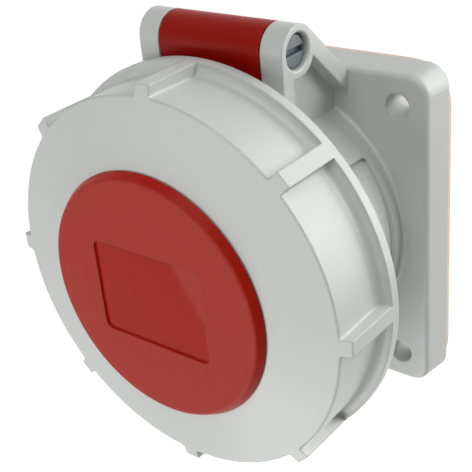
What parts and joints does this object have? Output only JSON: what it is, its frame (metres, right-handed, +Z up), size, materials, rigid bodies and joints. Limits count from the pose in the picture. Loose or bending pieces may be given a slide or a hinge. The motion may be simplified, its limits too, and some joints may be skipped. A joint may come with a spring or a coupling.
{
  "type": "panel-mounted pin and sleeve socket",
  "caption": "Square-flanged pin and sleeve power socket for a panel, with a red hinged lid that a ribbed grey bayonet ring locks over the round collar.",
  "frame": {"origin": "centre of the gasket's back face, on the panel", "axes": "+Z up, +Y into the panel, the socket faces -Y, +X to the right seen from the front"},
  "size_m": [0.089, 0.0666, 0.0952],
  "materials": {
    "grey_shell": "fine moulded texture",
    "grey_ring": "fine moulded texture",
    "red_shell": "satin",
    "red_cap": "fine moulded grain",
    "gasket": "matte sheet",
    "seal": "matte",
    "hinge_pin": "satin",
    "carrier": "matte",
    "brass": "turned",
    "steel": "plated"
  },
  "bodies": {
    "socket": {"housing": "grey_shell", "flange_gasket": "gasket", "hinge_pin": "hinge_pin", "contact_carrier": "carrier", "carrier_base": "carrier", "carrier_screw": "steel", "base_screws": "steel", "contact_earth": "brass", "contact_neutral": "brass", "contact_line_1": "brass", "contact_line_2": "brass", "contact_line_3": "brass", "sleeve_springs": "steel", "terminal_screws": "steel"},
    "lid": {"lid": "red_shell", "lid_seal": "seal", "lid_cap": "red_cap", "cap_screws": "steel"},
    "ring": {"bayonet_ring": "grey_ring"}
  },
  "joints": [
    {"name": "lid_hinge", "type": "hinge", "parent": "socket", "child": "lid", "pos_m": [0, -0.0257, 0.0453], "axis": [-1, 0, 0], "range_deg": [0, 140]},
    {"name": "ring_turn", "type": "hinge", "parent": "lid", "child": "ring", "pos_m": [0, -0.042, 0], "axis": [0, 1, 0], "range_deg": [0, 45]}
  ]
}
